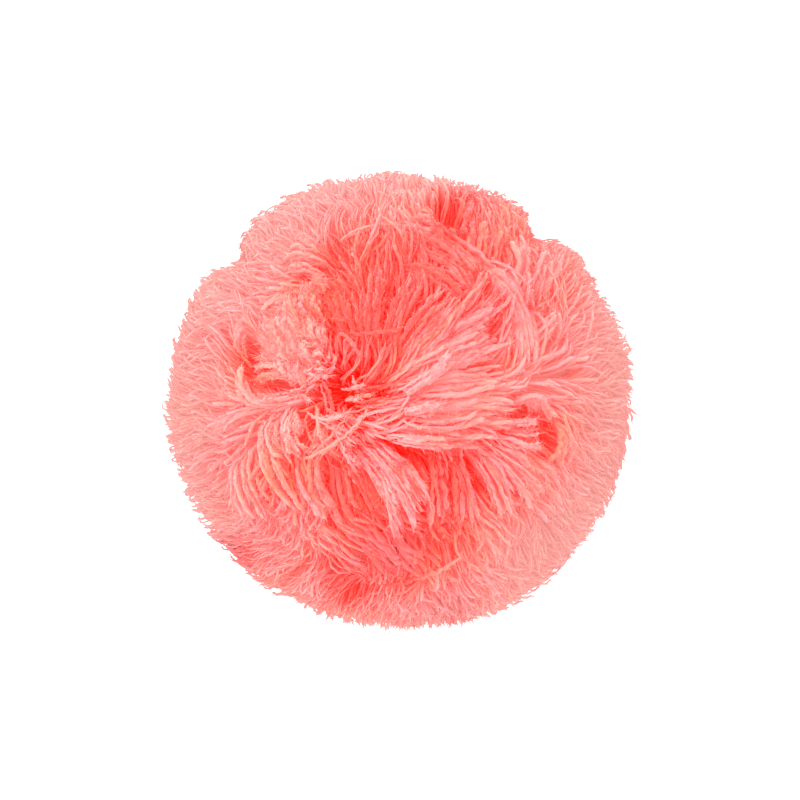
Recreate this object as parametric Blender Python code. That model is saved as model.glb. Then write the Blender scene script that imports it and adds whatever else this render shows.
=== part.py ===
"""A cut-yarn pom pom lying on its back, face up, as one closed solid.

The bound heart of the yarn is a ball of small three-sided faces. Each face grows a lock of pile, which
leans the way the yarn is combed and ends on the trimmed surface, or level on the floor beneath. The locks
stand apart from each other but for their roots.
Run it with: blender --background --python part.py
"""

import math

import bmesh
import bpy
import numpy as np
from mathutils import Vector
from mathutils.bvhtree import BVHTree
from mathutils.kdtree import KDTree

MM = 0.001

# Driving dimensions, in metres. The floor is at z = 0 and +Z points out of the pom pom's face.
DIAMETER = 125 * MM  # across the trimmed pile, seen from its face
CENTRE_HEIGHT = 52 * MM  # of the heart above the floor, less than the radius because the base is pressed
HEART_RADIUS = 39 * MM  # where the locks part from each other
HEART_CORNERS = 150  # corners of the heart's faces: 2 * 150 - 4 = 296 faces, each with its lock
ROOT_GROOVE = 0.7 * MM  # from the edge of a face to the root of its lock
LOOSENED = 0.12  # how uneven the heart's faces are, in radians round the heart

PILE_RADIUS = DIAMETER / 2
HEART = np.array((0.0, 0.0, CENTRE_HEIGHT))

# How a lock grows out of its face: how far along it each ring stands, and how full it is there.
RINGS = (
    # along, fullness
    (0.24, 0.92),
    (0.48, 1.00),
    (0.71, 0.96),
    (0.90, 0.74),
    (1.00, 0.40),
)
FULLEST = 9.2 * MM  # from a lock's middle line to its corner
SLIMMEST = 1.5 * MM
SHARE_OF_GAP = 0.62  # of the way to the next lock's middle line that a corner may reach
SLIMMING = 0.85  # of a corner's reach is left, each time it is found to touch another lock
BEND = 1.9  # how late a strand leans over: 1 is a straight slant

# Locks standing on the floor are cut level, and nothing else comes down to it.
LEVEL = 0.01 * MM  # a lock that ends lower than this stands on the floor
FLOOR_FULLNESS = 0.80  # of such a lock's end
CLEAR = 0.6 * MM  # the least height of everything else

# How combed locks push each other aside.
APART = 8.0 * MM  # between the middle lines of locks that lie side by side
GIVE = 0.25  # of an overlap that one round takes up on each side
PUSH_ROUNDS = 36
SLIM_ROUNDS = 24

# Where the pile is seen to lie over, in millimetres from the middle of the face, right and up:
# the place, and the way and distance that the strands run there.
COMBED = (
    # right, up, run_right, run_up
    (-6.0, 2.0, 34.0, 1.0),  # sheaf running right from the parting
    (6.0, 8.0, 33.0, 10.0),
    (18.0, 4.0, 30.0, 2.0),
    (14.0, 18.0, 24.0, 13.0),
    (-2.0, 14.0, 16.0, 22.0),  # strands standing up out of the valley above it
    (-12.0, 14.0, 2.0, 24.0),
    (-17.0, 30.0, -8.0, 14.0),
    (-19.0, 8.0, -13.0, 6.0),  # tuft left of the parting, tips towards the viewer
    (-28.0, 17.0, -9.0, 2.0),
    (-12.0, -10.0, 13.0, -24.0),  # sheaf falling below the parting
    (2.0, -10.0, 28.0, -9.0),
    (-2.0, -26.0, 14.0, -24.0),
    (-24.0, -12.0, -2.0, -24.0),
    (-32.0, -24.0, 3.0, -22.0),
    (16.0, -16.0, 17.0, -20.0),  # fan at the lower right
    (24.0, -12.0, 24.0, -12.0),
    (18.0, -32.0, 8.0, -20.0),
    (34.0, 16.0, -8.0, 20.0),  # fan at the upper right
    (42.0, 20.0, 10.0, 16.0),
    (26.0, 34.0, -3.0, 18.0),
    (48.0, 4.0, 14.0, 6.0),
    (44.0, -4.0, 6.0, -16.0),  # round the right hollow
    (33.0, -8.0, 9.0, 3.0),
    (42.0, -20.0, -6.0, -12.0),
    (-45.0, 6.0, -3.0, 16.0),  # round the left hollow
    (-34.0, 6.0, -9.0, -4.0),
    (-38.0, -4.0, -10.0, -4.0),
    (-32.0, 34.0, -14.0, 5.0),  # fingers along the upper left
    (8.0, 44.0, -8.0, 14.0),  # either side of the upper hollow
    (20.0, 46.0, 5.0, 14.0),
)
COMB_REACH = 8.5 * MM
COMB_HOLD = 0.30  # the smaller it is, the further out a stroke of the comb holds
COMB_STEPS = 10
COMB_LOWEST = 0.45  # height over the radius, below which a stroke no longer follows the ball

# Dents and, with a minus, bulges of the trimmed surface, in millimetres.
DENTS = (
    # right, up, reach, depth
    (-11.0, 2.0, 9.0, 9.0),  # parting of the yarn
    (-39.0, 11.0, 5.0, 6.0),  # left hollow
    (38.0, -10.0, 5.0, 6.0),  # right hollow
    (13.5, 50.0, 5.0, 5.0),  # upper hollow
    (-5.0, 24.0, 9.0, 4.0),  # valley above the parting
    (40.0, 48.0, 6.0, 6.5),  # notch at the upper right of the outline
    (-49.0, 38.0, 6.0, 4.0),  # notch at the upper left of the outline
    (-27.0, 16.0, 10.0, -3.0),  # tuft left of the parting
    (-62.0, -6.0, 12.0, -1.5),
    (60.0, 14.0, 10.0, -1.5),
    (44.0, -44.0, 14.0, -1.2),
    (0.0, 61.0, 26.0, 1.6),  # the outline is a little wider than it is high
    (-8.0, -61.0, 26.0, 1.8),
)

# The lie of the pile where nothing is combed: soft waves over the whole ball, and a droop.
WAVES = (
    # waves along x, y and z over the ball, then the way they push
    (4.1, 1.3, -2.2, 0.4, 3.0, 1.1),
    (-1.7, 3.9, 2.9, 2.7, -0.8, 2.0),
    (2.6, -3.1, 4.4, -1.2, 2.2, 2.6),
    (5.3, 2.4, 3.3, 1.9, 1.5, -2.4),
)
WAVE_LEAN = 5.0 * MM
DROOP = 5.0 * MM  # how far the flanks sag towards the floor
SPLAY = 7.0 * MM  # how far the strands beneath are pressed outwards

HEART_COLOUR = (0.86, 0.20, 0.17, 1.0)


def facing(right, up):
    """Unit vector from the heart to a place on the face, given in millimetres right and up of its middle."""
    x = right * MM / PILE_RADIUS
    y = up * MM / PILE_RADIUS
    z = math.sqrt(max(0.0, 1 - x * x - y * y))
    return np.array((x, y, z)) / math.sqrt(x * x + y * y + z * z)


def near(ways, place, reach):
    """1 for ways that point at the place, falling smoothly to 0 past the reach, in metres on the surface."""
    apart = np.arccos(np.clip(ways @ place, -1, 1)) * PILE_RADIUS
    return np.exp(-((apart / reach) ** 2))


def along_surface(ways, push):
    """The share of a push that runs along the surface at each way."""
    return push - ways * np.sum(push * ways, axis=1, keepdims=True)


def combing(ways):
    """How fast the pile is carried over the surface at each way, in metres for a whole strand."""
    total = np.zeros(len(ways))
    carried = np.zeros_like(ways)
    for right, up, run_right, run_up in COMBED:
        place = facing(right, up)
        down = (place[0] * run_right + place[1] * run_up) / max(place[2], COMB_LOWEST)
        weight = near(ways, place, COMB_REACH)
        total += weight
        carried += weight[:, None] * np.array((run_right, run_up, -down)) * MM
    stroked = carried / (total + COMB_HOLD)[:, None]
    free = 1 - np.clip(total, 0, 1)
    waves = np.zeros_like(ways)
    for x, y, z, push_x, push_y, push_z in WAVES:
        phase = ways @ np.array((x, y, z))
        waves += np.sin(phase)[:, None] * np.array((push_x, push_y, push_z))
    low = np.clip(-ways[:, 2], 0, 1)
    beside = np.sqrt(np.clip(1 - ways[:, 2] ** 2, 0, 1))
    outwards = ways * np.array((1, 1, 0))
    sag = np.zeros_like(ways)
    sag[:, 2] = -DROOP * beside * (1 - low)
    loose = waves * WAVE_LEAN / len(WAVES) + sag + outwards * (SPLAY * low)[:, None]
    return along_surface(ways, stroked + loose * free[:, None])


def combed(ways, share):
    """Where each way ends once it has been carried along for a share of the combing."""
    ways = ways.copy()
    for _ in range(COMB_STEPS):
        ways += combing(ways) * (share / COMB_STEPS / PILE_RADIUS)
        ways /= np.linalg.norm(ways, axis=1, keepdims=True)
    return ways


def trimmed_radius(ways):
    """From the heart to the trimmed surface, which is the floor beneath."""
    radius = np.full(len(ways), PILE_RADIUS)
    for right, up, reach, depth in DENTS:
        radius -= near(ways, facing(right, up), reach * MM) * depth * MM
    down = np.maximum(-ways[:, 2], 1e-6)
    return np.minimum(radius, CENTRE_HEIGHT / down)


def strand_points(roots, along):
    """Points a share of the way along the strands that leave the heart at these ways.

    A strand climbs quickly at first and is carried sideways mostly near its end, so it arches over.
    """
    ways = combed(roots, along**BEND)
    climb = 1 - (1 - along) ** BEND
    radius = HEART_RADIUS + (trimmed_radius(ways) - HEART_RADIUS) * climb
    return HEART + ways * radius[:, None]


def heart():
    """The heart as a hull round points on a spiral from pole to pole, its turns loosened a little."""
    mesh = bmesh.new()
    turn = math.pi * (3 - math.sqrt(5))
    for i in range(HEART_CORNERS):
        z = 1 - (2 * i + 1) / HEART_CORNERS
        z += LOOSENED / 4 * math.sin(5 * i) * (1 - z * z)
        angle = i * turn + LOOSENED * math.sin(2 * i)
        across = HEART_RADIUS * math.sqrt(1 - z * z)
        mesh.verts.new((across * math.cos(angle), across * math.sin(angle), HEART_RADIUS * z))
    bmesh.ops.convex_hull(mesh, input=mesh.verts[:])
    return mesh


def middle_lines(middles):
    """The middle line of each lock, as an array of locks by rings, with the root first."""
    lines = np.empty((len(middles), len(RINGS) + 1, 3))
    for ring, along in enumerate([0.0] + [along for along, _ in RINGS]):
        lines[:, ring] = strand_points(middles, along)
    return lines


def onto_surface(points):
    """Points moved along their own ways from the heart onto the trimmed surface."""
    ways = points - HEART
    ways /= np.linalg.norm(ways, axis=1, keepdims=True)
    return HEART + ways * trimmed_radius(ways)[:, None]


def close_pairs(lines, reach):
    """Points of unlike lines within reach of each other, as two arrays of places in the flat list."""
    flat = lines.reshape(-1, 3)
    tree = KDTree(len(flat))
    for place, point in enumerate(flat):
        tree.insert(point, place)
    tree.balance()
    count = lines.shape[1]
    pairs = []
    for place, point in enumerate(flat):
        for _, other, _ in tree.find_range(point, reach):
            if other // count > place // count:
                pairs.append((place, other))
    return np.array(pairs).T


def push_apart(lines):
    """Pushes the lines off each other, while each keeps its root, its length and its end's depth."""
    lengths = np.linalg.norm(np.diff(lines, axis=1), axis=2)
    for _ in range(PUSH_ROUNDS):
        flat = lines.reshape(-1, 3)
        first, second = close_pairs(lines, APART)
        gap = flat[second] - flat[first]
        distance = np.linalg.norm(gap, axis=1, keepdims=True)
        push = gap / distance * (APART - distance) * GIVE
        moved = flat.copy()
        np.add.at(moved, second, push)
        np.add.at(moved, first, -push)
        moved = moved.reshape(lines.shape)
        moved[:, 0] = lines[:, 0]
        for ring in range(1, lines.shape[1]):
            run = moved[:, ring] - moved[:, ring - 1]
            run /= np.linalg.norm(run, axis=1, keepdims=True)
            moved[:, ring] = moved[:, ring - 1] + run * lengths[:, ring - 1, None]
        moved[:, -1] = onto_surface(moved[:, -1])
        lines = moved
    return lines


def corner_reach(lines):
    """How far a lock's corners reach from its middle line at each ring, short of its neighbours."""
    locks, rings = lines.shape[:2]
    halfway = (lines[:, 1:] + lines[:, :-1]) / 2
    finer = np.concatenate((lines, halfway), axis=1)
    flat = finer.reshape(-1, 3)
    first, second = close_pairs(finer, FULLEST / SHARE_OF_GAP)
    distance = np.linalg.norm(flat[second] - flat[first], axis=1)
    nearest = np.full((locks, finer.shape[1]), FULLEST / SHARE_OF_GAP)
    for place in (first, second):
        np.minimum.at(nearest.reshape(-1), place, distance)
    reach = np.clip(nearest[:, :rings] * SHARE_OF_GAP, SLIMMEST, FULLEST)
    return reach * np.array([1.0] + [fullness for _, fullness in RINGS])


def spokes(corners, middle):
    """From a face's middle to its corners, laid flat across the middle's own way, the longest 1 long."""
    across = corners - middle
    across -= np.outer(across @ middle, middle)
    return across / np.linalg.norm(across, axis=1).max()


def touching(mesh, lock_of, ring_of):
    """Corners where a face crosses one that it shares no corner with, each with its lock and ring."""
    mesh.faces.ensure_lookup_table()
    tree = BVHTree.FromBMesh(mesh)
    found = {}
    for pair in tree.overlap(tree):
        faces = [mesh.faces[i] for i in pair]
        if set(faces[0].verts).isdisjoint(faces[1].verts):
            for face in faces:
                for vertex in face.verts:
                    if vertex[ring_of]:
                        found[vertex] = (face[lock_of], vertex[ring_of])
    return found


def slim_down(mesh, lines, lock_of, ring_of):
    """Draws in the corners of locks that touch, until the locks stand apart."""
    for _ in range(SLIM_ROUNDS):
        for vertex, (lock, ring) in touching(mesh, lock_of, ring_of).items():
            middle = Vector(lines[lock, ring])
            height = vertex.co.z
            vertex.co = middle + (vertex.co - middle) * SLIMMING
            if height < CLEAR:
                vertex.co.z = height


def grow_locks(mesh):
    """Insets each face of the heart for a lock's root, then extrudes it ring by ring along its line."""
    lock_of = mesh.faces.layers.int.new("lock")
    ring_of = mesh.verts.layers.int.new("ring")
    for lock, face in enumerate(mesh.faces):
        face[lock_of] = lock
    faces = mesh.faces[:]
    corners = np.array([[vertex.co[:] for vertex in face.verts] for face in faces]) / HEART_RADIUS
    middles = corners.mean(axis=1)
    middles /= np.linalg.norm(middles, axis=1, keepdims=True)
    lines = push_apart(middle_lines(middles))
    reach = corner_reach(lines)
    bmesh.ops.inset_individual(mesh, faces=faces, thickness=ROOT_GROOVE)
    bmesh.ops.translate(mesh, verts=mesh.verts[:], vec=HEART)
    tips = faces
    last = len(RINGS)
    for ring in range(1, last + 1):
        tips = bmesh.ops.extrude_discrete_faces(mesh, faces=tips)["faces"]
        for tip in tips:
            lock = tip[lock_of]
            middle = Vector(lines[lock, ring])
            ahead = Vector(lines[lock, min(ring + 1, last)] - lines[lock, ring - 1])
            full = reach[lock, ring]
            level = ring == last and middle.z < LEVEL
            if level:
                ahead = Vector((0, 0, -1))
                full *= FLOOR_FULLNESS / RINGS[-1][1]
            turn = Vector(middles[lock]).rotation_difference(ahead)
            for vertex, spoke in zip(tip.verts, spokes(corners[lock], middles[lock])):
                vertex.co = middle + (turn @ Vector(spoke)) * full
                vertex.co.z = 0.0 if level else max(vertex.co.z, CLEAR)
                vertex[ring_of] = ring
    slim_down(mesh, lines, lock_of, ring_of)


def yarn():
    material = bpy.data.materials.new("coral_yarn")
    material.use_nodes = True
    shader = material.node_tree.nodes["Principled BSDF"]
    shader.inputs["Base Color"].default_value = HEART_COLOUR
    shader.inputs["Roughness"].default_value = 0.95
    shader.inputs["Metallic"].default_value = 0.0
    return material


def pompom(collection):
    mesh = heart()
    grow_locks(mesh)
    data = bpy.data.meshes.new("pompom")
    mesh.to_mesh(data)
    mesh.free()
    data.materials.append(yarn())
    collection.objects.link(bpy.data.objects.new("pompom", data))


def main():
    for old in list(bpy.data.objects):
        bpy.data.objects.remove(old)
    collection = bpy.data.collections.new("pom_pom")
    bpy.context.scene.collection.children.link(collection)
    pompom(collection)


if __name__ == "__main__":
    main()
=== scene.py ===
"""Dresses the solid of a cut-yarn pom pom with its single yarns, and sets it on a pale studio floor.

The pile is made of joined meshes of thin tubes, one tube for each yarn. A yarn leaves the bound heart, climbs
to the trimmed surface and lies over the way the pile is combed, like the locks of the solid. Lengths are in
metres, but the tables hold millimetres, and their places are right and up of the middle of the face.
"""

import math

import bmesh
import bpy
import numpy as np
from bpy.props import FloatProperty, FloatVectorProperty, IntProperty, PointerProperty
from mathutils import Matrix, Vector, noise


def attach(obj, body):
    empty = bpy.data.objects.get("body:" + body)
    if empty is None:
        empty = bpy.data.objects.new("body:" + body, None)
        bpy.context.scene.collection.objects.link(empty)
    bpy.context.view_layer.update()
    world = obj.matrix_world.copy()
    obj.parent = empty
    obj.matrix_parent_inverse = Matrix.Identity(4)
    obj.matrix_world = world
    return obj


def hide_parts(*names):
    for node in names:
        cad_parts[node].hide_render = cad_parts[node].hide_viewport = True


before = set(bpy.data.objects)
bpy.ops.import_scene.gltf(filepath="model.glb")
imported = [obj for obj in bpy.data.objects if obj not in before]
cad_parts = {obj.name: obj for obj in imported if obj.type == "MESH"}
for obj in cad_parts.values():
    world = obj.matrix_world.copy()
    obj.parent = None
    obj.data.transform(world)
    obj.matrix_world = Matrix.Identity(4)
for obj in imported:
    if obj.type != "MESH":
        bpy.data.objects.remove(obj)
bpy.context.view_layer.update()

bl_info = {
    "name": "Yarn Pom Pom",
    "version": (1, 0, 0),
    "blender": (4, 5, 0),
    "location": "View3D > Sidebar > Pom Pom",
    "description": "Grows the cut yarns of a pom pom and sets it on a studio floor",
    "category": "Add Mesh",
}

MM = 0.001
NODE = "pompom"
BODY = "root"

# The solid's own sizes
PILE_RADIUS = 62.5 * MM
HEART_RADIUS = 39 * MM
HEART = np.array((0.0, 0.0, 52 * MM))
CLIMB = 2.6  # how soon a yarn reaches the surface: 1 is a straight slant
LEAN = 1.55  # how late it leans over

# The closed, lumpy heart beneath the yarns
HEART_COVER = 1.5 * MM  # over the solid's heart
LUMPS = 260  # to a metre
LUMP_SIZE = 0.035  # as a share of the distance from the middle

# The photograph's frame and the studio
PIXEL = 0.273 * MM  # across one pixel, at the height of the heart
PHOTO_SIDE = 800
SENSOR = 36.0  # in millimetres, as cameras give it
BOUNCES = 14  # of light between the yarns, which with the painted shade and painted glow makes the depths glow red
KEY_SIZE = 0.9  # across the large soft light
KEY_PLACE = (-0.55, 0.75, 1.25)

# How the pile is combed: the place, and how far a whole yarn runs there
COMBED = (
    # right, up, run_right, run_up
    (-12, 0, 26, 0),  # sheaf running right out of the parting
    (-6, 5, 30, 8),
    (2, 9, 30, 13),
    (10, 15, 26, 17),
    (20, 24, 19, 18),
    (12, 4, 30, 6),
    (24, 8, 24, 5),
    (6, -5, 32, -1),
    (18, -4, 26, -1),
    (8, -12, 28, -3),
    (-15, 20, -7, 24),  # yarns standing up out of the valley above the parting
    (-9, 15, 0, 26),
    (-7, 28, 0, 26),
    (-2, 20, 11, 26),
    (5, 27, 17, 22),
    (-14, 38, -3, 15),
    (-4, 40, 0, 18),
    (8, 38, 8, 17),
    (-27, 20, 8, -6),  # tuft left of the parting, tips towards the viewer
    (-24, 11, 7, -3),
    (-33, 13, 1, -5),
    (-33, 6, -8, -4),
    (-24, 31, -20, -3),  # fingers over the tuft, pointing left
    (-32, 28, -16, -4),
    (-36, 37, -13, 5),
    (-30, -2, -24, 0),  # round the left hollow
    (-39, -1, -20, 8),
    (-46, 7, -8, 17),
    (-50, -3, -17, 1),
    (-42, 19, -2, 14),
    (-44, -10, -13, -12),  # falling on the lower left
    (-34, -10, -4, -22),
    (-27, -10, -3, -22),
    (-36, -24, 2, -22),
    (-25, -24, 8, -23),
    (-46, -25, -6, -17),
    (-18, -9, 10, -22),  # sheaf falling to the right, below the parting
    (-14, -20, 17, -22),
    (-5, -20, 16, -24),
    (-8, -33, 20, -19),
    (3, -28, 10, -26),
    (-15, -43, 16, -11),
    (2, -40, 11, -13),
    (10, -20, 3, -24),  # fan at the lower right
    (18, -18, 13, -24),
    (26, -15, 24, -13),
    (22, -30, 7, -17),
    (34, -22, 17, -11),
    (32, -7, 13, -1),  # round the right hollow
    (38, -1, 11, -8),
    (45, -9, 3, -17),
    (47, 1, 18, 0),
    (52, -13, 12, -12),
    (44, -21, 5, -17),
    (33, 12, 2, 22),  # standing up on the upper right
    (34, 25, 2, 21),
    (42, 17, 6, 19),
    (43, 31, 5, 15),
    (52, 13, 13, 12),
    (24, 41, 3, 14),
    (10, 47, -8, 9),  # either side of the upper hollow
    (19, 50, 6, 9),
    (-45, 35, -9, 7),  # radiating round the rim
    (-38, 45, -7, 9),
    (-27, 50, -5, 10),
    (-14, 54, -2, 8),
    (0, 55, 0, 7),
    (-53, 22, -9, 4),
    (-56, 8, -9, 2),
    (-56, -14, -8, -2),
    (-50, -34, -6, -5),
    (-36, -46, -4, -7),
    (-17, -56, -2, -7),
    (6, -56, 1, -7),
    (27, -50, 4, -8),
    (44, -38, 6, -6),
    (55, -24, 8, -4),
    (57, 0, 9, 0),
    (56, 26, 8, 3),
)
COMB_REACH = 7.0 * MM
COMB_HOLD = 0.30  # the smaller it is, the further out a stroke of the comb holds
COMB_LOWEST = 0.45  # height over the radius, below which a stroke no longer follows the ball
COMB_STEPS = 3  # between one ring of a yarn and the next

# How the yarns of the pile differ from each other
JITTER = 0.55  # of the way between one yarn's root and the next
RING_SPACING = 0.75  # below 1, the rings of a yarn crowd towards its end
LEAN_SPREAD = 0.20  # of how far they run, as a share
VEERING = 25  # yarns that turn aside together
LOCK_VEER = 0.30  # by this many radians
YARN_VEER = 0.18  # and each yarn by this much more or less
TRIM_LIMITS = (-3 * MM, 1.6 * MM)  # the shortest and longest cuts
LOCK_YARNS = 9  # that are drawn together at their ends
LOCK_STRENGTHS = (0.4, 1.3)  # of the pull, over the clumping
LOCK_TIGHTEST = 0.85  # of the way to the leading yarn
LOCK_CURVE = 1.6  # above 1, the pull grows late along a yarn
TUFTING = 0.9 * MM  # how far the small tufts of the pile stand out, and the gaps between them lie back
TUFT_WAVES = ((47.0, 31.0, -29.0), (-33.0, 42.0, 37.0))  # over the ball, a tuft every 6 mm or so
WANDER_TURNS = (0.9, 1.6)  # swings along a yarn, to one side and to the other
WANDER_RATES = (0.7, 1.4)  # over those, from yarn to yarn
WANDER_SIZES = (0.25, 1.0)  # of the curl, from yarn to yarn
WANDER_CURVE = 1.3  # above 1, the swings grow late along a yarn

# How each yarn is made
YARN_SIDES = 3
PROFILE = ((0, 0.3, 0.6, 0.93, 1.0), (0.7, 0.85, 1.0, 1.1, 0.75))  # places along it, and its thickness there
THICKNESSES = (0.65, 1.2)  # of whole yarns, as shares
SWELLINGS = (0.78, 1.22)  # and of one ring, over its yarn
FLOOR_GAP = 0.05 * MM
FRAY_LENGTHS = (0.8, 2.6)  # of the ply that spreads out of a cut end, in millimetres
FRAY_SPREAD = 0.34  # to the sides, over its way ahead
FRAY_WIDTH = 0.75  # over the yarn's
FUZZ_LENGTHS = (1.2, 4.2)  # of the fine fibres, in millimetres
FUZZ_RADII = (0.09, 0.17)
FUZZ_SPREAD = 0.55  # to the sides, over their way ahead
FUZZ_LIFT = 0.35  # and away from the heart
FUZZ_BLOOM = (0.3, 1.0)  # how pale they are, as shares, partly a painted highlight
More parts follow.
